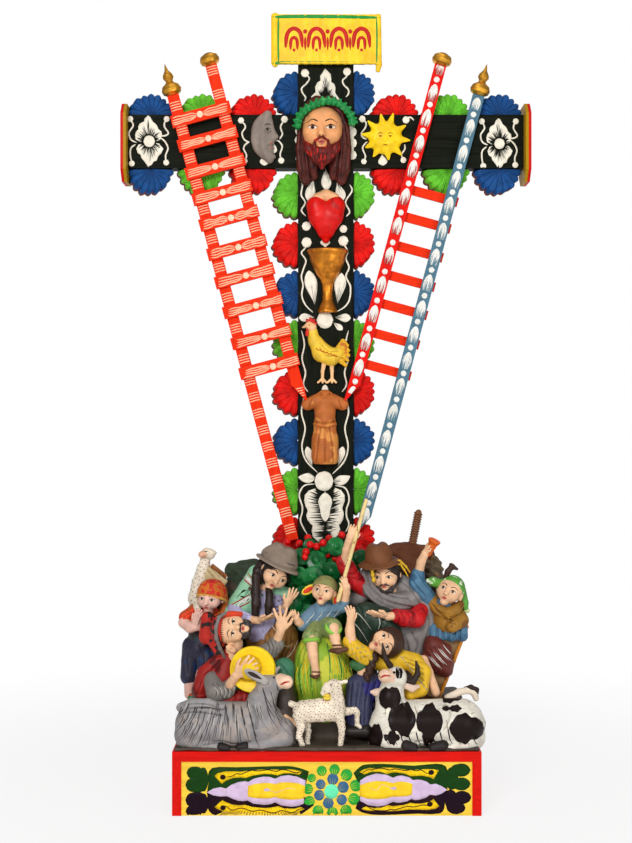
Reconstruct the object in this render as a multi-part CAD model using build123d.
# A painted folk passion cross standing on a box plinth, with a nativity crowd at its foot.
# The plinth is a nailed box of boards. The cross is an upright and a beam, half lapped and pegged,
# with the upright's tenon held in a block under the plinth's top board. Fluted half rosettes line
# the cross, two nailed ladders lean on it, and small reliefs of moulded paste are glued to its front.
# X is to the right, -Y is the front, +Z is up, and the origin is the centre of the plinth's underside.
from build123d import *

import math
import os

# Plinth: a box of nailed boards
PLINTH_WIDTH = 252.0
PLINTH_DEPTH = 160.0
PLINTH_HEIGHT = 52.0
TOP_BOARD = 8.0
SIDE_BOARD = 7.5
PANEL_BOARD = 6.0
PANEL_INSET = 1.0
FLOOR_BOARD = 6.0

# Nails: a round wire nail, and the same nail made short for the ladders
NAIL_SHANK = 1.4
NAIL_HEAD = 3.2
NAIL_HEAD_DEPTH = 0.6
PLINTH_NAIL = 22.0
NAIL_FROM_EDGE = 22.0

# Cross: two boards half lapped at the crossing, on a tenon
CROSS_THICKNESS = 18.0
CROSS_FROM_BACK = 18.0
UPRIGHT_WIDTH = 50.0
UPRIGHT_TOP = 682.0
BEAM_HEIGHT = 48.0
BEAM_BELOW_TOP = 109.0
BEAM_LENGTH = 356.0
TENON_WIDTH = 30.0
TENON_THICKNESS = 12.0
TENON_LENGTH = 34.0
SOCKET_BLOCK_WIDTH = 64.0
SOCKET_BLOCK_DEPTH = 36.0
PEG_DIAMETER = 5.0
PEG_LENGTH = 16.0
PEG_SPACING = 24.0

# Plates that close the ends of the beam
END_PLATE = 5.0
END_PLATE_HEIGHT = 70.0
END_PLATE_DEPTH = 46.0
END_PLATE_CHAMFER = 10.0
END_PLATE_DROP = 2.0

# Rosettes: half discs with a scalloped rim and radial flutes
ROSETTE_THICKNESS = 9.0
ROSETTE_SETBACK = 3.5
ROSETTE_LOBES = 9
ROSETTE_LOBE_RISE = 2.0
ROSETTE_FLUTE = 1.6
ROSETTE_BUTTON = 5.0
ROSETTE_BUTTON_RISE = 1.2
ROSETTE_GAP = 4.5
ROSETTE_GAP_ON_UPRIGHT = 2.6
ROSETTE_BELOW_BEAM = 1.0
ROSETTE_ABOVE_PLINTH = 160.0

# Ladders: two rails and flat rungs, leaning out on each side of the cross
LADDER_TILT_DEG = 15.1
RAIL_WIDTH = 10.5
RAIL_THICKNESS = 6.0
RAIL_SPACING = 40.0
INNER_RAIL_LENGTH = 315.0
OUTER_RAIL_LENGTH = 410.0
OUTER_RAIL_DROP = 17.0
RAIL_TIP = 20.0
RUNG_HEIGHT = 11.0
BACK_RUNG_HEIGHT = 8.4
RUNG_THICKNESS = 3.4
RUNG_OVERHANG = 2.0
RUNG_PITCH = 26.4
LADDER_NAIL = 7.0
FINIAL_RADIUS = 9.0
FINIAL_KNOB_HEIGHT = 12.0
FINIAL_SPIRE = 18.0

# Curled title panel on top of the upright
SCROLL_WIDTH = 98.0
SCROLL_HEIGHT = 48.0
SCROLL_SHEET = 4.0
SCROLL_CURL = 5.0

# Reliefs on the front of the cross
HEAD_MODULE = 50.0
CROWN_RING = 22.5
CROWN_ROPE = 4.2
LEAF_LENGTH = 5.0
HEART_WIDTH = 35.0
HEART_HEIGHT = 42.0
HEART_BELOW_BEAM = 24.5
CHALICE_HEIGHT = 60.0
CHALICE_RIM = 19.5
CHALICE_BELOW_BEAM = 70.5
ROOSTER_MODULE = 42.0
ROOSTER_BELOW_BEAM = 166.0
TUNIC_HEIGHT = 63.0
TUNIC_WIDTH = 38.0
TUNIC_THICKNESS = 7.0
TUNIC_FOLD = 1.0
TUNIC_BELOW_BEAM = 234.0
DISC_THICKNESS = 4.0
SUN_RADIUS = 21.5
SUN_FACE = 14.0
SUN_POINTS = 12
MOON_RADIUS = 20.5
SKY_OFFSET = 53.0

# Ground of dark paste on the plinth, with a terrace behind the animals
GROUND_LAYER = 2.5
GROUND_TERRACE = 24.0
GROUND_RISE = 34.0
GROUND_INSET = 2.0

# Crowd: one module sizes every figure, and every place in a figure is a share of it
FIGURE_MODULE = 100.0
BRIM_THICKNESS = 2.2
BERRY_RADIUS = 3.6
LEAF_THICKNESS = 5.0
STAFF_DIAMETER = 3.4
STAFF_LENGTH = 90.0
POLE_DIAMETER = 7.0
BELL_RADIUS = 6.0
BELL_LENGTH = 13.0

# How far a cutter runs past what it cuts
CUT_OVERRUN = 1.0

# Shares and counts that shape single pieces
ROSETTE_COLOURS = ("red", "green", "blue")
UPRIGHT_COLOURS = ("green", "red", "blue", "green", "red", "blue", "green", "red")
UPRIGHT_COLOUR_ABOVE_BEAM = "blue"
# Gap between the upright and the nearest rosette on the beam, in rosette radii
ROSETTE_FROM_UPRIGHT_SHARE = 0.857
RAIL_ON_UPRIGHT_SHARE = 0.4
LADDER_ABOVE_BEAM_SHARE = 0.9
FIRST_RUNG_SHARE = 1.55
# Each rung's distance below the first one, in rung pitches: the rungs aren't evenly spaced
LEFT_RUNG_SHARES = (0.0, 0.85, 1.83, 2.73, 3.63, 4.66, 5.65, 6.70, 7.79, 8.84)
RIGHT_RUNG_SHARES = (0.0, 0.94, 1.96, 3.0, 4.0, 5.04, 6.14)
LAST_RUNG_SHARE = 0.73
# Where the right ladder's rungs end behind its inner rail, in rail widths from its middle
RUNG_HIDDEN_SHARE = 0.25
SAW_TIMES = 4
# Finial: radius and height; the spire's heights run from the top of the knob
FINIAL_KNOB_SHARES = ((0.0, 0.0), (0.5, 0.0), (0.9, 0.2), (1.0, 0.45), (0.85, 0.75))
FINIAL_CAP_SHARES = ((0.4, 0.95), (0.0, 1.0))
FINIAL_SPIRE_SHARES = ((0.4, 0.0), (0.35, 0.08), (0.55, 0.25), (0.5, 0.4), (0.2, 0.62), (0.0, 1.0))
SCROLL_ABOVE_UPRIGHT_SHARE = 0.1
LEAF_BASE_SHARE = 0.5
LEAF_TIP_SHARE = 0.125
HEART_TIP_SHARE = 0.25
HEART_TIP_RISE_SHARE = 1.3
# Chalice: radius as a share of the rim, height as a share of the whole
CHALICE_SHARES = (
    (0.0, 0.0), (0.62, 0.0), (0.60, 0.05), (0.26, 0.16), (0.20, 0.40), (0.30, 0.46),
    (0.72, 0.66), (0.84, 0.88), (1.0, 0.93), (0.97, 1.0), (0.0, 1.0),
)
TUNIC_SKIRT_SHARE = 0.5
MOON_BACK_SHARE = 0.75
TERRACE_BREAK_SHARE = 0.8
# Crown of a hat: share of its radius, share of its height
HAT_DOME_SHARES = ((0.95, 0.6), (0.75, 0.92), (0.4, 1.0), (0.0, 1.0))
# Bell: share of the mouth's radius, share of the length, outside and then inside
BELL_PROFILE_SHARES = (
    (0.0, 0.0), (0.35, 0.0), (0.55, 0.4), (1.0, 1.0), (0.8, 1.0), (0.5, 0.75), (0.0, 0.7),
)

# Levels that several pieces share
FRONT_Y = -PLINTH_DEPTH / 2
BACK_Y = PLINTH_DEPTH / 2
CROSS_BACK_Y = BACK_Y - CROSS_FROM_BACK
CROSS_FRONT_Y = CROSS_BACK_Y - CROSS_THICKNESS
BEAM_CENTRE_HEIGHT = UPRIGHT_TOP - BEAM_BELOW_TOP
BEAM_BOTTOM = BEAM_CENTRE_HEIGHT - BEAM_HEIGHT / 2
BEAM_TOP = BEAM_CENTRE_HEIGHT + BEAM_HEIGHT / 2
UPRIGHT_EDGE = UPRIGHT_WIDTH / 2

# Rosettes: one of each colour fills an arm of the beam, and the upright carries as many as fit
ARM_LENGTH = BEAM_LENGTH / 2 - UPRIGHT_EDGE
ARM_GAPS = (len(ROSETTE_COLOURS) - 1) * ROSETTE_GAP
ROSETTE_RADIUS = (ARM_LENGTH - ARM_GAPS) / (2 * len(ROSETTE_COLOURS) + ROSETTE_FROM_UPRIGHT_SHARE)
ROSETTE_PITCH = 2 * ROSETTE_RADIUS + ROSETTE_GAP
ROSETTE_STEP_DOWN = 2 * ROSETTE_RADIUS + ROSETTE_GAP_ON_UPRIGHT
FIRST_ROSETTE = BEAM_BOTTOM - ROSETTE_BELOW_BEAM - ROSETTE_RADIUS
ROSETTE_ROOM = FIRST_ROSETTE - PLINTH_HEIGHT - ROSETTE_ABOVE_PLINTH
ROSETTES_DOWN = 1 + int(ROSETTE_ROOM / ROSETTE_STEP_DOWN)


def block(x0, x1, y0, y1, z0, z1):
    """A box between two corners."""
    box = Box(x1 - x0, y1 - y0, z1 - z0)
    return Pos((x0 + x1) / 2, (y0 + y1) / 2, (z0 + z1) / 2) * box


def limb(a, b, radius_a, radius_b):
    """A round limb from a to b that tapers between two ball ends."""
    start, end = Vector(*a), Vector(*b)
    along = end - start
    length = along.length
    eighth = math.sin(math.pi / 4)
    lower = ThreePointArc(
        (0, -radius_a), (radius_a * eighth, -radius_a * eighth), (radius_a, 0)
    )
    side = Line((radius_a, 0), (radius_b, length))
    upper = ThreePointArc(
        (radius_b, length),
        (radius_b * eighth, length + radius_b * eighth),
        (0, length + radius_b),
    )
    middle = Line((0, length + radius_b), (0, -radius_a))
    profile = Plane.XZ * make_face(lower + side + upper + middle)
    return Plane(origin=start, z_dir=along) * revolve(profile, Axis.Z)


def turned(points, origin, direction=(0, 0, 1)):
    """A turned piece: points are (radius, height) up its axis, which they start and end on."""
    profile = Plane.XZ * make_face(Polyline(*points, close=True))
    return Plane(origin=origin, z_dir=direction) * revolve(profile, Axis.Z)


def rod(a, b, diameter):
    """A plain round rod from a to b."""
    start, along = Vector(*a), Vector(*b) - Vector(*a)
    end_plane = Plane(origin=start, z_dir=along)
    return end_plane * extrude(Circle(diameter / 2), along.length)


def nail(head, direction, length):
    """A wire nail whose head's outer face is at head, driven along direction."""
    at = Plane(origin=head, z_dir=direction)
    shank = at * extrude(Circle(NAIL_SHANK / 2), length)
    return shank + at * extrude(Circle(NAIL_HEAD / 2), NAIL_HEAD_DEPTH)


def trimmed(piece, others):
    """The piece without what the others near it take up."""
    near = [other for other in others if boxes_meet(piece, other)]
    return piece - near if near else piece


def boxes_meet(a, b):
    """True if the bounding boxes of two shapes meet."""
    p, q = a.bounding_box(optimal=False), b.bounding_box(optimal=False)
    return not (
        p.min.X > q.max.X
        or q.min.X > p.max.X
        or p.min.Y > q.max.Y
        or q.min.Y > p.max.Y
        or p.min.Z > q.max.Z
        or q.min.Z > p.max.Z
    )


def fuse(pieces):
    """One solid out of several that overlap."""
    first, *rest = pieces
    return first.fuse(*rest) if rest else first


def in_front(shape):
    """The part of a relief that stands in front of the cross."""
    reach = UPRIGHT_TOP
    return shape - block(-reach, reach, CROSS_FRONT_Y, CROSS_FRONT_Y + reach, 0, reach)


def build_plinth():
    """The plinth's six boards and its nails."""
    half = PLINTH_WIDTH / 2
    under_top = PLINTH_HEIGHT - TOP_BOARD
    inner = half - SIDE_BOARD
    front = FRONT_Y + PANEL_INSET
    nails = []
    for x in (-half + SIDE_BOARD / 2, half - SIDE_BOARD / 2):
        for y in (FRONT_Y + NAIL_FROM_EDGE, BACK_Y - NAIL_FROM_EDGE):
            nails.append(nail((x, y, PLINTH_HEIGHT), (0, 0, -1), PLINTH_NAIL))
    for side in (-1, 1):
        for z in (FLOOR_BOARD / 2, under_top / 2):
            for y in (front + PANEL_BOARD / 2, BACK_Y - PANEL_BOARD / 2):
                nails.append(nail((side * half, y, z), (-side, 0, 0), PLINTH_NAIL))
    slot = block(
        -TENON_WIDTH / 2,
        TENON_WIDTH / 2,
        tenon_y() - TENON_THICKNESS / 2,
        tenon_y() + TENON_THICKNESS / 2,
        under_top - CUT_OVERRUN,
        PLINTH_HEIGHT + CUT_OVERRUN,
    )
    boards = {
        "plinth_top_board": block(-half, half, FRONT_Y, BACK_Y, under_top, PLINTH_HEIGHT)
        - slot,
        "plinth_left_side": block(-half, -inner, FRONT_Y, BACK_Y, 0, under_top),
        "plinth_right_side": block(inner, half, FRONT_Y, BACK_Y, 0, under_top),
        "plinth_front_panel": block(-inner, inner, front, front + PANEL_BOARD, 0, under_top),
        "plinth_back_panel": block(-inner, inner, BACK_Y - PANEL_BOARD, BACK_Y, 0, under_top),
        "plinth_floor": block(
            -inner, inner, front + PANEL_BOARD, BACK_Y - PANEL_BOARD, 0, FLOOR_BOARD
        ),
    }
    parts = {name: trimmed(board, nails) for name, board in boards.items()}
    parts["plinth_nails"] = Compound(children=nails)
    return parts


def tenon_y():
    """The middle of the cross's thickness."""
    return (CROSS_FRONT_Y + CROSS_BACK_Y) / 2


def build_cross():
    """The upright, the beam lapped over it, the pegs, the end plates and the socket block."""
    lap_y = tenon_y()
    tenon_bottom = PLINTH_HEIGHT - TENON_LENGTH
    upright = block(
        -UPRIGHT_EDGE, UPRIGHT_EDGE, CROSS_FRONT_Y, CROSS_BACK_Y, PLINTH_HEIGHT, UPRIGHT_TOP
    )
    upright -= block(
        -UPRIGHT_EDGE - CUT_OVERRUN,
        UPRIGHT_EDGE + CUT_OVERRUN,
        CROSS_FRONT_Y - CUT_OVERRUN,
        lap_y,
        BEAM_BOTTOM,
        BEAM_TOP,
    )
    tenon = block(
        -TENON_WIDTH / 2,
        TENON_WIDTH / 2,
        lap_y - TENON_THICKNESS / 2,
        lap_y + TENON_THICKNESS / 2,
        tenon_bottom,
        PLINTH_HEIGHT,
    )
    upright = upright + tenon
    beam = block(
        -BEAM_LENGTH / 2, BEAM_LENGTH / 2, CROSS_FRONT_Y, CROSS_BACK_Y, BEAM_BOTTOM, BEAM_TOP
    )
    beam -= block(
        -UPRIGHT_EDGE,
        UPRIGHT_EDGE,
        lap_y,
        CROSS_BACK_Y + CUT_OVERRUN,
        BEAM_BOTTOM - CUT_OVERRUN,
        BEAM_TOP + CUT_OVERRUN,
    )
    pegs = [
        rod(
            (x, CROSS_BACK_Y, BEAM_CENTRE_HEIGHT),
            (x, CROSS_BACK_Y - PEG_LENGTH, BEAM_CENTRE_HEIGHT),
            PEG_DIAMETER,
        )
        for x in (-PEG_SPACING / 2, PEG_SPACING / 2)
    ]
    block_top = PLINTH_HEIGHT - TOP_BOARD
    socket = block(
        -SOCKET_BLOCK_WIDTH / 2,
        SOCKET_BLOCK_WIDTH / 2,
        lap_y - SOCKET_BLOCK_DEPTH / 2,
        lap_y + SOCKET_BLOCK_DEPTH / 2,
        tenon_bottom,
        block_top,
    )
    parts = {
        "cross_upright": upright - pegs,
        "cross_beam": beam - pegs,
        "cross_pegs": Compound(children=pegs),
        "socket_block": socket - tenon,
    }
    outline = Plane.YZ * Rectangle(END_PLATE_DEPTH, END_PLATE_HEIGHT)
    plate = extrude(outline, END_PLATE)
    plate = chamfer(plate.edges().filter_by(Axis.X), END_PLATE_CHAMFER)
    for name, x in (
        ("left_end_plate", -BEAM_LENGTH / 2 - END_PLATE),
        ("right_end_plate", BEAM_LENGTH / 2),
    ):
        parts[name] = Pos(x, lap_y, BEAM_CENTRE_HEIGHT - END_PLATE_DROP) * plate
    return parts


def half_rosette():
    """A half rosette in XY with its flat edge on Y 0, reaching +Y, and its front at Z 0 facing up."""
    valley = ROSETTE_RADIUS - ROSETTE_LOBE_RISE
    rim = []
    for i in range(ROSETTE_LOBES):
        a0, a1 = (math.pi * n / ROSETTE_LOBES for n in (i, i + 1))
        middle = (a0 + a1) / 2
        rim.append(
            ThreePointArc(
                (valley * math.cos(a0), valley * math.sin(a0)),
                (ROSETTE_RADIUS * math.cos(middle), ROSETTE_RADIUS * math.sin(middle)),
                (valley * math.cos(a1), valley * math.sin(a1)),
            )
        )
    outline = make_face(rim + [Line((-valley, 0), (valley, 0))])
    body = extrude(outline, -ROSETTE_THICKNESS)
    flutes = []
    for i in range(1, ROSETTE_LOBES):
        angle = 180 * i / ROSETTE_LOBES
        groove = Plane.YZ * make_face(
            Polyline(
                (-ROSETTE_FLUTE, ROSETTE_FLUTE / 2),
                (ROSETTE_FLUTE, ROSETTE_FLUTE / 2),
                (0, -ROSETTE_FLUTE),
                close=True,
            )
        )
        cutter = Pos(ROSETTE_BUTTON, 0, 0) * extrude(groove, ROSETTE_RADIUS)
        flutes.append(Rot(0, 0, angle) * cutter)
    button = extrude(Circle(ROSETTE_BUTTON), ROSETTE_BUTTON_RISE)
    cut_half = block(
        -ROSETTE_RADIUS,
        ROSETTE_RADIUS,
        -ROSETTE_RADIUS,
        0,
        -ROSETTE_THICKNESS,
        ROSETTE_THICKNESS,
    )
    return (body - flutes) + (button - cut_half)


def build_rosettes():
    """Half rosettes glued on the edges of the boards, one node for each colour and board."""
    rosette = half_rosette()
    front = CROSS_FRONT_Y + ROSETTE_SETBACK
    groups = {}

    def add(colour, board, x, z, turn):
        stood = Rot(90, 0, 0) * Rot(0, 0, turn) * rosette
        key = f"{colour}_rosettes_{board}"
        groups.setdefault(key, []).append(Pos(x, front, z) * stood)

    last = BEAM_LENGTH / 2 - ROSETTE_RADIUS
    for i, colour in enumerate(reversed(ROSETTE_COLOURS)):
        x = last - i * ROSETTE_PITCH
        for side in (-1, 1):
            add(colour, "beam", side * x, BEAM_TOP, 0)
            add(colour, "beam", side * x, BEAM_BOTTOM, 180)
    above = BEAM_TOP + ROSETTE_RADIUS
    for side, turn in ((-1, 90), (1, -90)):
        add(UPRIGHT_COLOUR_ABOVE_BEAM, "upright", side * UPRIGHT_EDGE, above, turn)
        for i in range(ROSETTES_DOWN):
            colour = UPRIGHT_COLOURS[i % len(UPRIGHT_COLOURS)]
            z = FIRST_ROSETTE - i * ROSETTE_STEP_DOWN
            add(colour, "upright", side * UPRIGHT_EDGE, z, turn)
    return {name: Compound(children=solids) for name, solids in groups.items()}


def ladder_point(side, across, down, y):
    """A point on a ladder: across from the inner rail's middle line, down from its top."""
    tilt = math.radians(LADDER_TILT_DEG)
    top_x, top_z = inner_rail_top()
    x = top_x + across * math.cos(tilt) - down * math.sin(tilt)
    z = top_z - across * math.sin(tilt) - down * math.cos(tilt)
    return side * x, y, z


def inner_rail_top():
    """X and Z of the top of the right ladder's inner rail, whose tip lies on the upright's edge."""
    tilt = math.radians(LADDER_TILT_DEG)
    tip_x = UPRIGHT_EDGE - RAIL_WIDTH * RAIL_ON_UPRIGHT_SHARE
    z = BEAM_TOP + LADDER_ABOVE_BEAM_SHARE * BEAM_HEIGHT
    return tip_x + INNER_RAIL_LENGTH * math.sin(tilt), z


def ladder_box(side, across, down, width, length, y0, y1):
    """A board on a ladder, centred at across and down, width across the ladder and length along it."""
    x, _, z = ladder_point(side, across, down, 0)
    board = Box(width, y1 - y0, length)
    return Pos(x, (y0 + y1) / 2, z) * Rot(0, side * LADDER_TILT_DEG, 0) * board


def rail(side, across, top, length, y0, y1):
    """A rail whose foot is sawn to a point that lies against the upright."""
    body = ladder_box(side, across, top + length / 2, RAIL_WIDTH, length, y0, y1)
    x, _, z = ladder_point(side, across - RAIL_WIDTH / 2, top + length, 0)
    saw_width = SAW_TIMES * RAIL_WIDTH
    saw = Box(saw_width, SAW_TIMES * (y1 - y0), SAW_TIMES * RAIL_TIP)
    bevel = math.degrees(math.atan2(RAIL_WIDTH, RAIL_TIP))
    turn = side * (LADDER_TILT_DEG + bevel)
    place = Pos(x, (y0 + y1) / 2, z) * Rot(0, turn, 0)
    return body - place * Pos(side * saw_width / 2, 0, 0) * saw


def finial(side, across, top, y, spire):
    """A turned gold knob on a rail's end, with or without its onion and spire."""
    tilt = math.radians(LADDER_TILT_DEG)
    at = ladder_point(side, across, top, y)
    up = (side * math.sin(tilt), 0, math.cos(tilt))
    points = [(FINIAL_RADIUS * r, FINIAL_KNOB_HEIGHT * h) for r, h in FINIAL_KNOB_SHARES]
    if spire:
        for r, h in FINIAL_SPIRE_SHARES:
            points.append((FINIAL_RADIUS * r, FINIAL_KNOB_HEIGHT + FINIAL_SPIRE * h))
    else:
        points += [(FINIAL_RADIUS * r, FINIAL_KNOB_HEIGHT * h) for r, h in FINIAL_CAP_SHARES]
    return turned(points, at, up)


def build_ladders():
    """Both ladders: rails on the cross's face, rungs nailed before or behind them, and finials."""
    rail_y0, rail_y1 = CROSS_FRONT_Y - RAIL_THICKNESS, CROSS_FRONT_Y
    first_front = RUNG_PITCH * FIRST_RUNG_SHARE
    last_back = INNER_RAIL_LENGTH - RAIL_TIP - LAST_RUNG_SHARE * RUNG_PITCH
    first_back = last_back - RIGHT_RUNG_SHARES[-1] * RUNG_PITCH
    outer_end = RAIL_SPACING + RAIL_WIDTH / 2 + RUNG_OVERHANG
    front_start = -RAIL_WIDTH / 2 - RUNG_OVERHANG
    back_start = -RAIL_WIDTH * RUNG_HIDDEN_SHARE
    front_y, back_y = rail_y0 - RUNG_THICKNESS, rail_y1 + RUNG_THICKNESS
    parts, nails = {}, []
    plan = (
        ("left", -1, LEFT_RUNG_SHARES, first_front, RUNG_HEIGHT, front_start, front_y, rail_y0, -1),
        ("right", 1, RIGHT_RUNG_SHARES, first_back, BACK_RUNG_HEIGHT, back_start, rail_y1, back_y, 1),
    )
    for name, side, shares, first, height, start, y0, y1, facing in plan:
        rungs, own_nails = [], []
        middle, width = (start + outer_end) / 2, outer_end - start
        for share in shares:
            down = first + share * RUNG_PITCH
            rungs.append(ladder_box(side, middle, down, width, height, y0, y1))
            head_y = y0 if facing < 0 else y1
            for across in (0, RAIL_SPACING):
                at = ladder_point(side, across, down, head_y)
                own_nails.append(nail(at, (0, -facing, 0), LADDER_NAIL))
        inner = rail(side, 0, 0, INNER_RAIL_LENGTH, rail_y0, rail_y1)
        outer = rail(side, RAIL_SPACING, OUTER_RAIL_DROP, OUTER_RAIL_LENGTH, rail_y0, rail_y1)
        parts[f"{name}_ladder_inner_rail"] = trimmed(inner, own_nails)
        parts[f"{name}_ladder_outer_rail"] = trimmed(outer, own_nails)
        parts[f"{name}_ladder_rungs"] = Compound(
            children=[trimmed(r, own_nails) for r in rungs]
        )
        rail_y = (rail_y0 + rail_y1) / 2
        parts[f"{name}_ladder_finials"] = Compound(
            children=[
                finial(side, 0, 0, rail_y, False),
                finial(side, RAIL_SPACING, OUTER_RAIL_DROP, rail_y, True),
            ]
        )
        nails += own_nails
    parts["ladder_nails"] = Compound(children=nails)
    return parts


def build_scroll():
    """The title panel: a sheet with its left end curled forward and its right end curled back."""
    half = SCROLL_WIDTH / 2
    front = CROSS_FRONT_Y - SCROLL_SHEET
    sheet = Pos(0, (front + CROSS_FRONT_Y) / 2) * Rectangle(
        SCROLL_WIDTH - 2 * SCROLL_CURL, SCROLL_SHEET
    )
    left = Pos(-half + SCROLL_CURL, CROSS_FRONT_Y - SCROLL_CURL) * Circle(SCROLL_CURL)
    right = Pos(half - SCROLL_CURL, front + SCROLL_CURL) * Circle(SCROLL_CURL)
    outline = sheet + left + right
    panel = extrude(outline, SCROLL_HEIGHT)
    top = UPRIGHT_TOP + SCROLL_ABOVE_UPRIGHT_SHARE * SCROLL_HEIGHT
    return {"title_scroll": Pos(0, 0, top - SCROLL_HEIGHT) * panel}


# Bearded head: (from, to, radius, radius) as shares of its module, from the cross's face
HEAD_LIMB_SHARES = (
    ((0, -0.16, 0.22), (0, -0.22, -0.12), 0.41, 0.32),
    ((0, -0.26, -0.16), (0, -0.22, -0.36), 0.27, 0.14),
    ((-0.38, -0.06, 0.20), (-0.36, -0.10, -0.60), 0.12, 0.15),
    ((0.38, -0.06, 0.20), (0.36, -0.10, -0.66), 0.12, 0.15),
    ((-0.16, -0.06, 0.36), (0.16, -0.06, 0.36), 0.32, 0.32),
)
CROWN_CENTRE_SHARES = (0, -0.18, 0.25)
CROWN_LEAVES = 11
CROWN_LEAF_TILTS_DEG = (35, -10)
# Rooster: shares of its module from the middle of its body
ROOSTER_LIMB_SHARES = (
    ((-0.26, -0.10, -0.02), (0.20, -0.10, 0.0), 0.25, 0.22),
    ((-0.30, -0.11, 0.08), (-0.32, -0.12, 0.44), 0.16, 0.13),
    ((-0.34, -0.13, 0.54), (-0.39, -0.13, 0.57), 0.14, 0.12),
    ((0.28, -0.09, 0.04), (0.42, -0.08, 0.18), 0.14, 0.12),
    ((0.06, -0.07, -0.20), (0.06, -0.07, -0.54), 0.14, 0.13),
)
# Heart: shares of its width across and its height down, from the middle of its top
HEART_LOBE_SHARE = 0.27
HEART_DOME_SHARE = 0.30
HEART_DOME_HALF_SHARE = 0.13
MOON_OUTLINE_SHARES = (
    (0.45, 1.00), (0.42, 0.70), (0.50, 0.32), (0.62, 0.05), (0.80, -0.16), (0.58, -0.26),
    (0.62, -0.42), (0.52, -0.50), (0.58, -0.62), (0.40, -0.78), (0.52, -1.00),
)
TUNIC_OUTLINE_SHARES = (
    (-0.22, 0.50), (-0.42, 0.44), (-0.52, 0.30), (-0.36, 0.20), (-0.30, 0.28),
    (-0.28, 0.04), (-0.42, -0.50), (0.42, -0.50), (0.28, 0.04), (0.30, 0.28),
    (0.36, 0.20), (0.52, 0.30), (0.42, 0.44), (0.22, 0.50), (0.0, 0.44),
)
TUNIC_FOLD_SHARES = (-0.24, -0.08, 0.08, 0.24)


def scaled_limbs(table, size, origin):
    """One solid from a table of limbs given as shares of a size."""
    ox, oy, oz = origin
    solids = []
    for a, b, ra, rb in table:
        p = (ox + size * a[0], oy + size * a[1], oz + size * a[2])
        q = (ox + size * b[0], oy + size * b[1], oz + size * b[2])
        solids.append(limb(p, q, size * ra, size * rb))
    return fuse(solids)


def build_crown():
    """A wreath over the brow: half a ring of rope with leaves that stand out from it."""
    x, y, z = (HEAD_MODULE * share for share in CROWN_CENTRE_SHARES)
    centre = Pos(x, CROSS_FRONT_Y + y, BEAM_CENTRE_HEIGHT + z)
    ring = Rot(90, 0, 0) * Torus(CROWN_RING, CROWN_ROPE)
    reach = CROWN_RING + 2 * CROWN_ROPE
    lower_half = block(-reach, reach, -reach, reach, -reach, 0)
    leaves = []
    for i in range(CROWN_LEAVES):
        around = -90 + 180 * (i + 0.5) / CROWN_LEAVES
        length = CROWN_ROPE + LEAF_LENGTH
        leaf = Cone(CROWN_ROPE * LEAF_BASE_SHARE, CROWN_ROPE * LEAF_TIP_SHARE, length)
        tilt = CROWN_LEAF_TILTS_DEG[i % len(CROWN_LEAF_TILTS_DEG)]
        out = Pos(0, 0, CROWN_RING) * Rot(tilt, 0, 0) * Pos(0, 0, length / 2)
        leaves.append(Rot(0, around, 0) * out * leaf)
    return centre * fuse([ring - lower_half] + leaves)


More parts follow.
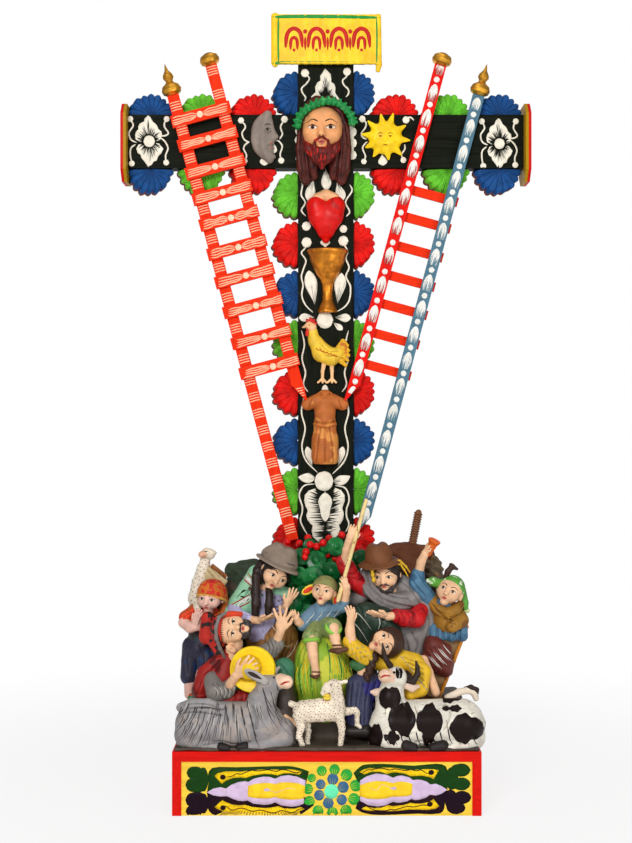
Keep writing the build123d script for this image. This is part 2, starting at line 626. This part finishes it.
def build_reliefs():
    """Pieces of moulded paste glued on the front of the cross."""
    centre = (0, CROSS_FRONT_Y, BEAM_CENTRE_HEIGHT)
    head = in_front(scaled_limbs(HEAD_LIMB_SHARES, HEAD_MODULE, centre))
    parts = {"bearded_head": head, "leaf_crown": in_front(build_crown()) - head}

    lobe = HEART_LOBE_SHARE * HEART_WIDTH
    dome = HEART_DOME_SHARE * HEART_WIDTH
    top = BEAM_BOTTOM - HEART_BELOW_BEAM - lobe
    y = CROSS_FRONT_Y - lobe / 2
    across = HEART_DOME_HALF_SHARE * HEART_WIDTH
    dome_z = top + lobe / 2
    left, right = (-across, CROSS_FRONT_Y, dome_z), (across, CROSS_FRONT_Y, dome_z)
    heart = [limb(left, right, dome, dome)]
    tip_radius = HEART_TIP_SHARE * lobe
    tip = (0, CROSS_FRONT_Y - tip_radius, top + HEART_TIP_RISE_SHARE * lobe - HEART_HEIGHT)
    for side in (-1, 1):
        lobe_at = (side * (HEART_WIDTH / 2 - lobe), y, top)
        heart.append(limb(lobe_at, tip, lobe, tip_radius))
    parts["heart"] = in_front(fuse(heart))

    profile = [(CHALICE_RIM * r, CHALICE_HEIGHT * h) for r, h in CHALICE_SHARES]
    foot_z = BEAM_BOTTOM - CHALICE_BELOW_BEAM - CHALICE_HEIGHT
    parts["chalice"] = in_front(turned(profile, (0, CROSS_FRONT_Y, foot_z)))

    z = BEAM_BOTTOM - ROOSTER_BELOW_BEAM
    rooster = scaled_limbs(ROOSTER_LIMB_SHARES, ROOSTER_MODULE, (0, CROSS_FRONT_Y, z))
    parts["rooster"] = in_front(rooster)

    points = [(TUNIC_WIDTH * x, TUNIC_HEIGHT * y) for x, y in TUNIC_OUTLINE_SHARES]
    tunic = extrude(make_face(Polyline(*points, close=True)), TUNIC_THICKNESS)
    skirt = TUNIC_SKIRT_SHARE * TUNIC_HEIGHT
    folds = [
        Pos(TUNIC_WIDTH * share, -skirt / 2, TUNIC_THICKNESS) * Box(TUNIC_FOLD, skirt, 2 * TUNIC_FOLD)
        for share in TUNIC_FOLD_SHARES
    ]
    stood = Rot(90, 0, 0) * (tunic - folds)
    parts["tunic"] = Pos(0, CROSS_FRONT_Y, BEAM_BOTTOM - TUNIC_BELOW_BEAM) * stood

    star = []
    for i in range(2 * SUN_POINTS):
        angle = math.pi * i / SUN_POINTS
        r = SUN_FACE if i % 2 else SUN_RADIUS
        star.append((r * math.sin(angle), r * math.cos(angle)))
    sun = extrude(make_face(Polyline(*star, close=True)), DISC_THICKNESS / 2)
    sun += extrude(Circle(SUN_FACE), DISC_THICKNESS)
    at = Pos(SKY_OFFSET, CROSS_FRONT_Y, BEAM_CENTRE_HEIGHT)
    parts["sun"] = at * Rot(90, 0, 0) * sun

    points = [(MOON_RADIUS * x, MOON_RADIUS * y) for x, y in MOON_OUTLINE_SHARES]
    outer = ThreePointArc(points[-1], (-MOON_BACK_SHARE * MOON_RADIUS, 0), points[0])
    face = make_face(Polyline(*points) + outer)
    moon = extrude(face, DISC_THICKNESS)
    at = Pos(-SKY_OFFSET, CROSS_FRONT_Y, BEAM_CENTRE_HEIGHT)
    parts["moon"] = at * Rot(90, 0, 0) * moon
    return parts


# Where each figure stands: shares of half the plinth's width and half its depth
ANCHOR_SHARES = {
    "boy_with_lamb": (-0.84, 0.0),
    "carried_lamb": (-0.84, 0.0),
    "kneeling_woman": (-0.448, 0.05),
    "kneeling_man": (0.432, 0.05),
    "shepherd": (-0.624, -0.375),
    "child": (-0.048, -0.225),
    "hay_mound": (-0.064, -0.275),
    "girl_in_yellow": (0.384, -0.425),
    "boy_with_bell": (0.84, -0.025),
    "sack": (0.84, -0.025),
    "donkey": (-0.64, -0.75),
    "cow": (0.656, -0.75),
    "lamb": (-0.032, -0.825),
    "leaf_bush": (0.0, 0.30),
    "back_hill": (0.56, 0.50),
    "left_hill": (-0.56, 0.50),
}

# Limbs of each figure: from, to, radius, radius, in shares of the module, from its anchor
LIMB_SHARES = {
    "boy_with_lamb": (
        ((0.06, -0.14, 1.22), (0.03, -0.17, 1.14), 0.118, 0.088),
        ((0.07, -0.11, 1.26), (0.11, -0.06, 1.18), 0.122, 0.09),
        ((0.02, -0.11, 1.08), (-0.03, 0.0, 0.94), 0.07, 0.12),
        ((-0.03, 0.0, 0.94), (-0.05, 0.02, 0.73), 0.13, 0.14),
        ((-0.11, -0.03, 1.03), (-0.18, -0.1, 0.99), 0.07, 0.06),
        ((-0.18, -0.1, 0.99), (-0.04, -0.22, 1.0), 0.05, 0.035),
        ((0.08, -0.02, 1.02), (0.1, -0.08, 0.89), 0.07, 0.06),
        ((0.1, -0.08, 0.89), (0.0, -0.2, 0.94), 0.05, 0.035),
        ((0.0, 0.0, 0.73), (0.02, -0.14, 0.61), 0.1, 0.075),
        ((-0.12, 0.02, 0.71), (-0.14, -0.04, 0.52), 0.09, 0.07),
        ((-0.04, -0.12, 0.56), (-0.07, -0.12, 0.37), 0.042, 0.032),
        ((-0.07, -0.13, 0.36), (-0.13, -0.18, 0.33), 0.036, 0.032),
    ),
    "carried_lamb": (
        ((-0.0, 0.06, 1.55), (-0.05, 0.02, 1.54), 0.056, 0.038),
        ((-0.02, 0.08, 1.49), (-0.08, 0.08, 1.23), 0.052, 0.07),
        ((-0.08, 0.08, 1.23), (-0.1, 0.04, 1.08), 0.075, 0.065),
    ),
    "kneeling_woman": (
        ((0.11, -0.12, 1.39), (0.06, -0.16, 1.3), 0.118, 0.082),
        ((0.03, -0.1, 1.23), (-0.01, -0.06, 1.15), 0.055, 0.08),
        ((-0.01, -0.04, 1.12), (-0.04, 0.02, 0.78), 0.14, 0.17),
        ((-0.08, -0.02, 1.31), (-0.23, -0.06, 1.08), 0.095, 0.08),
        ((-0.01, -0.04, 1.17), (0.15, -0.08, 1.14), 0.1, 0.07),
        ((-0.23, -0.06, 1.08), (-0.19, -0.18, 1.0), 0.075, 0.06),
        ((-0.19, -0.18, 1.0), (0.0, -0.31, 1.01), 0.055, 0.034),
        ((0.0, -0.31, 1.01), (0.12, -0.34, 1.04), 0.034, 0.022),
        ((0.15, -0.08, 1.14), (0.14, -0.2, 1.08), 0.07, 0.06),
        ((0.14, -0.2, 1.08), (0.21, -0.28, 1.14), 0.05, 0.034),
        ((0.21, -0.28, 1.14), (0.26, -0.3, 1.21), 0.032, 0.022),
        ((-0.05, -0.16, 1.44), (-0.06, -0.22, 1.04), 0.034, 0.034),
        ((0.07, -0.19, 1.25), (0.05, -0.23, 1.02), 0.032, 0.032),
        ((0.04, -0.02, 0.78), (0.21, -0.12, 0.8), 0.17, 0.11),
        ((-0.01, 0.0, 0.69), (0.01, -0.02, 0.35), 0.18, 0.2),
    ),
    "kneeling_man": (
        ((-0.03, -0.12, 1.41), (-0.02, -0.16, 1.32), 0.118, 0.088),
        ((-0.01, -0.17, 1.29), (0.0, -0.18, 1.23), 0.07, 0.04),
        ((0.0, -0.04, 1.22), (0.03, 0.0, 1.09), 0.13, 0.18),
        ((0.03, 0.0, 1.08), (0.06, 0.04, 0.69), 0.19, 0.2),
        ((-0.19, -0.02, 1.22), (0.23, 0.0, 1.18), 0.1, 0.11),
        ((-0.24, -0.06, 1.24), (-0.39, -0.18, 1.44), 0.08, 0.065),
        ((-0.39, -0.18, 1.44), (-0.37, -0.22, 1.62), 0.05, 0.036),
        ((-0.37, -0.22, 1.62), (-0.35, -0.25, 1.72), 0.038, 0.042),
        ((0.26, -0.02, 1.15), (0.24, -0.18, 1.0), 0.095, 0.085),
        ((0.24, -0.18, 1.0), (0.0, -0.36, 1.05), 0.075, 0.04),
        ((0.0, -0.36, 1.05), (-0.16, -0.4, 1.09), 0.034, 0.024),
        ((-0.05, 0.0, 0.82), (-0.19, -0.26, 0.99), 0.15, 0.125),
        ((-0.19, -0.26, 0.97), (-0.21, -0.18, 0.46), 0.11, 0.09),
        ((0.16, 0.04, 0.77), (0.13, 0.04, 0.34), 0.15, 0.16),
    ),
    "shepherd": (
        ((-0.08, -0.06, 0.94), (0.06, -0.08, 0.92), 0.12, 0.088),
        ((-0.14, -0.01, 0.95), (-0.23, 0.04, 0.91), 0.12, 0.085),
        ((-0.01, -0.02, 0.79), (-0.07, 0.0, 0.68), 0.06, 0.11),
        ((-0.08, 0.0, 0.65), (-0.12, 0.02, 0.34), 0.14, 0.16),
        ((-0.19, -0.02, 0.6), (-0.15, -0.16, 0.42), 0.08, 0.08),
        ((-0.15, -0.16, 0.42), (-0.01, -0.25, 0.55), 0.075, 0.04),
        ((-0.01, -0.25, 0.55), (0.13, -0.31, 0.69), 0.038, 0.026),
        ((0.0, 0.02, 0.64), (0.3, -0.06, 0.75), 0.08, 0.07),
        ((0.3, -0.06, 0.75), (0.37, -0.11, 0.88), 0.055, 0.038),
        ((0.37, -0.11, 0.9), (0.41, -0.13, 1.02), 0.04, 0.042),
        ((0.41, -0.13, 1.02), (0.4, -0.14, 1.12), 0.03, 0.022),
        ((-0.05, -0.04, 0.33), (0.31, -0.08, 0.34), 0.14, 0.1),
        ((0.35, -0.1, 0.34), (0.45, -0.2, 0.3), 0.08, 0.06),
    ),
    "child": (
        ((0.02, -0.07, 1.25), (0.0, -0.1, 1.19), 0.104, 0.082),
        ((0.05, -0.02, 1.29), (0.08, 0.02, 1.31), 0.106, 0.07),
        ((-0.06, -0.04, 1.26), (-0.16, -0.06, 1.22), 0.032, 0.022),
        ((0.1, -0.06, 1.23), (0.13, -0.08, 1.13), 0.032, 0.02),
        ((0.01, -0.03, 1.12), (0.02, 0.0, 1.06), 0.046, 0.09),
        ((0.02, 0.0, 1.05), (0.01, 0.0, 0.92), 0.11, 0.115),
        ((-0.07, 0.0, 1.05), (-0.12, -0.06, 0.95), 0.06, 0.048),
        ((-0.12, -0.06, 0.94), (-0.22, -0.14, 1.03), 0.038, 0.028),
        ((0.11, 0.0, 1.07), (0.19, -0.08, 1.09), 0.06, 0.048),
        ((0.19, -0.08, 1.1), (0.21, -0.17, 1.31), 0.038, 0.034),
        ((-0.03, -0.02, 0.89), (-0.08, -0.26, 0.87), 0.09, 0.07),
        ((-0.08, -0.26, 0.84), (-0.05, -0.31, 0.62), 0.046, 0.03),
        ((-0.05, -0.31, 0.6), (-0.04, -0.37, 0.58), 0.03, 0.03),
        ((0.05, -0.02, 0.92), (0.1, -0.3, 0.97), 0.09, 0.072),
        ((0.1, -0.3, 0.94), (0.13, -0.35, 0.83), 0.046, 0.034),
        ((0.12, -0.36, 0.8), (0.19, -0.4, 0.79), 0.032, 0.026),
    ),
    "hay_mound": (
        ((0.03, 0.12, 0.85), (0.04, 0.02, 0.52), 0.18, 0.27),
        ((0.04, 0.02, 0.52), (0.04, 0.08, 0.25), 0.27, 0.27),
    ),
    "girl_in_yellow": (
        ((0.04, -0.08, 0.83), (-0.06, -0.12, 0.85), 0.116, 0.09),
        ((0.09, -0.04, 0.82), (0.1, -0.02, 0.72), 0.11, 0.09),
        ((-0.01, -0.06, 0.73), (0.04, -0.02, 0.64), 0.05, 0.09),
        ((0.06, 0.0, 0.6), (0.01, 0.04, 0.39), 0.13, 0.15),
        ((-0.06, -0.04, 0.68), (-0.27, -0.16, 0.8), 0.065, 0.065),
        ((-0.3, -0.17, 0.85), (-0.29, -0.19, 1.02), 0.046, 0.032),
        ((-0.29, -0.19, 1.03), (-0.28, -0.19, 1.13), 0.034, 0.032),
        ((0.15, 0.0, 0.67), (0.3, -0.02, 0.64), 0.08, 0.065),
        ((0.3, -0.02, 0.64), (0.26, -0.08, 0.48), 0.065, 0.055),
        ((0.34, 0.04, 0.68), (0.44, 0.0, 0.4), 0.046, 0.034),
        ((-0.01, 0.0, 0.36), (-0.21, -0.12, 0.44), 0.15, 0.12),
        ((-0.21, -0.12, 0.42), (-0.23, -0.16, 0.18), 0.12, 0.11),
        ((-0.28, -0.24, 0.1), (-0.17, -0.24, 0.11), 0.046, 0.046),
    ),
    "boy_with_bell": (
        ((-0.0, -0.07, 1.25), (-0.03, -0.11, 1.18), 0.114, 0.09),
        ((0.04, -0.01, 1.26), (0.09, 0.0, 1.15), 0.116, 0.085),
        ((0.1, -0.03, 1.14), (0.15, -0.04, 1.06), 0.042, 0.024),
        ((-0.08, -0.04, 1.28), (-0.13, -0.06, 1.31), 0.06, 0.04),
        ((-0.02, -0.02, 1.11), (-0.03, 0.02, 1.04), 0.07, 0.115),
        ((-0.03, 0.02, 1.02), (-0.02, 0.04, 0.85), 0.125, 0.135),
        ((-0.12, 0.02, 1.12), (-0.27, -0.02, 1.29), 0.07, 0.058),
        ((-0.27, -0.02, 1.29), (-0.27, -0.03, 1.37), 0.056, 0.048),
        ((-0.26, -0.03, 1.4), (-0.2, -0.05, 1.58), 0.036, 0.034),
        ((0.07, 0.02, 1.05), (0.09, -0.06, 0.92), 0.07, 0.06),
        ((0.09, -0.06, 0.92), (-0.04, -0.14, 0.95), 0.05, 0.036),
        ((-0.02, 0.06, 0.83), (0.0, 0.08, 0.6), 0.13, 0.13),
    ),
    "sack": (
        ((-0.1, -0.06, 0.72), (-0.13, -0.08, 0.53), 0.12, 0.13),
        ((-0.02, -0.02, 0.66), (-0.06, -0.04, 0.36), 0.11, 0.12),
    ),
    "donkey": (
        ((-0.26, 0.02, 0.18), (0.25, 0.02, 0.18), 0.185, 0.185),
        ((-0.3, 0.02, 0.15), (-0.34, 0.02, 0.1), 0.17, 0.125),
        ((0.22, 0.02, 0.24), (0.29, 0.01, 0.45), 0.15, 0.09),
        ((0.29, 0.0, 0.52), (0.44, -0.05, 0.54), 0.08, 0.056),
        ((0.3, -0.02, 0.58), (0.16, -0.04, 0.6), 0.028, 0.024),
        ((0.32, 0.04, 0.56), (0.38, 0.06, 0.63), 0.028, 0.02),
        ((-0.36, -0.04, 0.08), (-0.07, -0.12, 0.03), 0.09, 0.038),
        ((0.41, -0.04, 0.08), (0.09, -0.12, 0.03), 0.09, 0.038),
    ),
    "cow": (
        ((-0.29, 0.02, 0.19), (0.29, 0.02, 0.19), 0.185, 0.185),
        ((-0.36, 0.0, 0.12), (-0.39, 0.0, 0.07), 0.14, 0.105),
        ((-0.29, 0.02, 0.28), (-0.32, 0.0, 0.45), 0.15, 0.105),
        ((-0.26, -0.01, 0.58), (-0.35, -0.08, 0.58), 0.086, 0.06),
        ((-0.31, 0.0, 0.63), (-0.33, 0.0, 0.79), 0.026, 0.012),
        ((-0.18, 0.02, 0.59), (-0.1, 0.04, 0.57), 0.03, 0.026),
        ((-0.1, 0.04, 0.57), (-0.09, 0.04, 0.69), 0.026, 0.014),
        ((0.34, 0.02, 0.15), (0.36, 0.02, 0.09), 0.15, 0.115),
        ((-0.33, -0.08, 0.07), (-0.07, -0.13, 0.03), 0.08, 0.038),
        ((0.35, -0.08, 0.07), (0.08, -0.13, 0.03), 0.08, 0.038),
        ((0.3, 0.14, 0.34), (0.39, 0.14, 0.45), 0.032, 0.034),
    ),
    "lamb": (
        ((-0.16, 0.0, 0.3), (0.09, 0.0, 0.32), 0.092, 0.096),
        ((0.1, 0.0, 0.36), (0.1, 0.0, 0.48), 0.075, 0.054),
        ((0.09, 0.0, 0.52), (0.01, -0.02, 0.47), 0.06, 0.036),
        ((0.13, 0.0, 0.53), (0.19, 0.0, 0.55), 0.02, 0.016),
        ((-0.2, -0.03, 0.28), (-0.19, -0.04, 0.12), 0.05, 0.024),
        ((-0.19, -0.04, 0.12), (-0.16, -0.04, 0.01), 0.024, 0.022),
        ((-0.15, 0.05, 0.25), (-0.13, 0.06, 0.0), 0.044, 0.022),
        ((0.13, -0.04, 0.28), (0.15, -0.04, 0.01), 0.044, 0.022),
        ((0.15, 0.04, 0.29), (0.25, 0.06, 0.3), 0.04, 0.026),
        ((0.25, 0.06, 0.3), (0.28, 0.06, 0.17), 0.024, 0.02),
        ((-0.22, 0.0, 0.34), (-0.26, 0.0, 0.37), 0.034, 0.026),
    ),
}

# Two hills of paste behind the crowd, in the same terms
HILL_SHARES = {
    "back_hill": (
        ((0.03, -0.1, 1.44), (0.05, -0.12, 0.3), 0.18, 0.3),
        ((0.28, -0.18, 1.28), (0.33, -0.18, 0.31), 0.1, 0.24),
    ),
    "left_hill": (
        ((-0.05, -0.12, 1.29), (-0.08, -0.12, 0.3), 0.14, 0.28),
        ((-0.32, -0.16, 1.1), (-0.36, -0.18, 0.31), 0.09, 0.18),
    ),
}

# Bush: a core with round leaf pads: centre, normal and radius, in shares of the module
BUSH_CORE_SHARES = (
    ((0.0, 0.02, 0.20), (0.0, -0.02, 1.32), 0.20, 0.22),
    ((-0.24, 0.02, 1.34), (0.27, 0.02, 1.36), 0.14, 0.14),
)
LEAF_SHARES = (
    ((-0.10, -0.12, 1.45), (-0.1, -1.0, 0.3), 0.09),
    ((-0.11, -0.18, 1.29), (-0.1, -1.0, 0.3), 0.11),
    ((0.05, -0.16, 1.36), (0.2, -1.0, 0.3), 0.09),
    ((0.09, -0.06, 1.54), (0.1, -1.0, 0.3), 0.08),
    ((0.30, -0.06, 1.46), (0.5, -1.0, 0.2), 0.10),
    ((-0.27, -0.08, 1.46), (-0.5, -1.0, 0.2), 0.10),
    ((-0.28, -0.16, 1.20), (-0.5, -1.0, 0.1), 0.12),
    ((-0.20, -0.20, 1.06), (-0.2, -1.0, 0.1), 0.12),
    ((0.20, -0.14, 1.18), (0.3, -1.0, 0.1), 0.11),
)
# Berries along the top of the bush: X and Z in shares of the module
BERRY_SHARES = (
    (-0.45, 1.50), (-0.37, 1.56), (-0.31, 1.46), (-0.25, 1.54), (-0.20, 1.60), (-0.15, 1.50),
    (-0.09, 1.56), (-0.02, 1.61), (0.05, 1.54), (0.02, 1.44), (0.11, 1.41), (0.17, 1.60),
    (0.24, 1.56), (0.34, 1.62), (0.37, 1.52), (0.33, 1.44),
)

# Hats: brim centre, up direction, brim radius and crown height in shares of the module
HAT_SHARES = {
    "womans_hat": ("kneeling_woman", (0.16, -0.18, 1.45), (0.36, -0.24, 0.93), 0.21, 0.17),
    "mans_hat": ("kneeling_man", (-0.07, -0.16, 1.45), (0.04, -0.20, 1.0), 0.21, 0.18),
    "yellow_hat": ("shepherd", (0.16, -0.28, 0.64), (-0.35, -0.90, 0.20), 0.19, 0.09),
}
HAT_CROWN_SHARE = 0.56

# What is held: shares of the module from its holder's anchor
BELL_SHARES = (-0.165, -0.05, 1.60)
BELL_TILT_SHARES = (0.5, -0.3, 0.8)
STAFF_FOOT_SHARES = (0.15, -0.19, 1.20)
STAFF_TOP_SHARES = (0.39, 0.03, 2.01)
POLE_SHARES = ((0.03, -0.10, 1.48), (0.11, -0.10, 1.90))


def anchor(name):
    """Where a figure stands on the plinth's top board."""
    x, y = ANCHOR_SHARES[name]
    return Vector(x * PLINTH_WIDTH / 2, y * PLINTH_DEPTH / 2, PLINTH_HEIGHT)


def at_share(name, shares):
    """A point of a figure from its shares of the module."""
    point = anchor(name) + Vector(*shares) * FIGURE_MODULE
    return point.X, point.Y, point.Z


def limbs_of(name, table):
    """One solid from a figure's table of limbs."""
    solids = []
    for a, b, ra, rb in table:
        p, q = at_share(name, a), at_share(name, b)
        solids.append(limb(p, q, ra * FIGURE_MODULE, rb * FIGURE_MODULE))
    return fuse(solids)


def build_ground():
    """Dark paste on the plinth: a thin layer in front that rises to a terrace behind."""
    floor = PLINTH_HEIGHT
    front, back = FRONT_Y + GROUND_INSET, BACK_Y - GROUND_INSET
    rise = FRONT_Y + GROUND_RISE
    profile = Polyline(
        (front, floor),
        (front, floor + GROUND_LAYER),
        (rise, floor + GROUND_LAYER),
        (rise + GROUND_TERRACE / 2, floor + TERRACE_BREAK_SHARE * GROUND_TERRACE),
        (rise + GROUND_TERRACE, floor + GROUND_TERRACE),
        (back, floor + GROUND_TERRACE),
        (back, floor),
        close=True,
    )
    half = PLINTH_WIDTH / 2 - GROUND_INSET
    return extrude(Plane.YZ * make_face(profile), half, both=True)


def berry(x_share, z_share):
    """A berry glued to the face of the upright, or of the rosettes beside it."""
    x, _, z = at_share("leaf_bush", (x_share, 0, z_share))
    wall = CROSS_FRONT_Y
    if abs(x) > UPRIGHT_EDGE:
        wall += ROSETTE_SETBACK
    ball = Pos(x, wall - BERRY_RADIUS / 2, z) * Sphere(BERRY_RADIUS)
    reach = 2 * BERRY_RADIUS
    return ball - block(x - reach, x + reach, wall, wall + reach, z - reach, z + reach)


def hat(brim_at, up, brim, crown):
    """A felt hat: a flat brim and a rounded crown."""
    r = brim * HAT_CROWN_SHARE
    points = [(0, 0), (brim, 0), (brim, BRIM_THICKNESS), (r, BRIM_THICKNESS)]
    points += [(r * across, crown * up_share) for across, up_share in HAT_DOME_SHARES]
    return turned(points, brim_at, up)


def build_crowd():
    """Ground, hills, bush, figures, animals and what they hold."""
    raw = {"ground": build_ground()}
    for name, table in LIMB_SHARES.items():
        raw[name] = limbs_of(name, table)
    for name, table in HILL_SHARES.items():
        raw[name] = limbs_of(name, table)
    leaves = []
    for centre, normal, radius in LEAF_SHARES:
        at = Plane(origin=at_share("leaf_bush", centre), z_dir=normal)
        pad = extrude(Circle(radius * FIGURE_MODULE), LEAF_THICKNESS / 2, both=True)
        leaves.append(at * pad)
    raw["leaf_bush"] = fuse([limbs_of("leaf_bush", BUSH_CORE_SHARES)] + leaves)
    raw["berries"] = Compound(children=[berry(x, z) for x, z in BERRY_SHARES])
    for name, (owner, centre, up, brim, crown) in HAT_SHARES.items():
        brim_at = at_share(owner, centre)
        raw[name] = hat(brim_at, up, brim * FIGURE_MODULE, crown * FIGURE_MODULE)
    bell_at = at_share("boy_with_bell", BELL_SHARES)
    cup = [(BELL_RADIUS * r, BELL_LENGTH * h) for r, h in BELL_PROFILE_SHARES]
    raw["orange_bell"] = turned(cup, bell_at, BELL_TILT_SHARES)
    foot = Vector(*at_share("child", STAFF_FOOT_SHARES))
    top = Vector(*at_share("child", STAFF_TOP_SHARES))
    end = foot + (top - foot).normalized() * STAFF_LENGTH
    raw["staff"] = rod(tuple(foot), tuple(end), STAFF_DIAMETER)
    a, b = (at_share("back_hill", p) for p in POLE_SHARES)
    raw["notched_pole"] = rod(a, b, POLE_DIAMETER)
    return raw


def settle(raw, fixed):
    """Fits the crowd together: each piece is cut by the fixed ones and by those before it."""
    order = (
        "berries", "staff", "womans_hat", "mans_hat", "yellow_hat", "orange_bell", "lamb", "donkey",
        "cow", "child", "girl_in_yellow", "shepherd", "kneeling_woman", "kneeling_man",
        "boy_with_lamb", "boy_with_bell", "carried_lamb", "sack", "hay_mound", "notched_pole",
        "leaf_bush", "left_hill", "back_hill", "ground",
    )
    floor = block(
        -PLINTH_WIDTH, PLINTH_WIDTH, -PLINTH_DEPTH, PLINTH_DEPTH, -PLINTH_HEIGHT, PLINTH_HEIGHT
    )
    done = {}
    for name in order:
        piece = raw[name]
        cutters = [d for d in done.values() if boxes_meet(piece, d)]
        if name != "berries":
            cutters += [floor] + [f for f in fixed if boxes_meet(piece, f)]
        done[name] = piece - cutters if cutters else piece
    return done


def main():
    os.makedirs("parts", exist_ok=True)
    parts = {}
    parts.update(build_plinth())
    parts.update(build_cross())
    parts.update(build_rosettes())
    parts.update(build_ladders())
    parts.update(build_scroll())
    parts.update(build_reliefs())
    beside = [
        solid
        for name, piece in parts.items()
        if name == "cross_upright" or "rosettes" in name
        for solid in piece.solids()
    ]
    rungs = [trimmed(rung, beside) for rung in parts["right_ladder_rungs"].solids()]
    parts["right_ladder_rungs"] = Compound(children=rungs)
    rails = [parts["left_ladder_inner_rail"], parts["right_ladder_inner_rail"]]
    parts["tunic"] = parts["tunic"] - rails
    behind_crowd = [
        solid
        for name, piece in parts.items()
        if name == "cross_upright" or "rosettes_upright" in name or "ladder" in name
        for solid in piece.solids()
    ]
    parts.update(settle(build_crowd(), behind_crowd))
    hills = [parts.pop("left_hill"), parts.pop("back_hill")]
    parts["hills_behind"] = Compound(children=hills)
    for name, piece in parts.items():
        export_step(Compound(children=list(piece.solids())), f"parts/{name}.step")
    print(len(parts), "nodes")


if __name__ == "__main__":
    main()
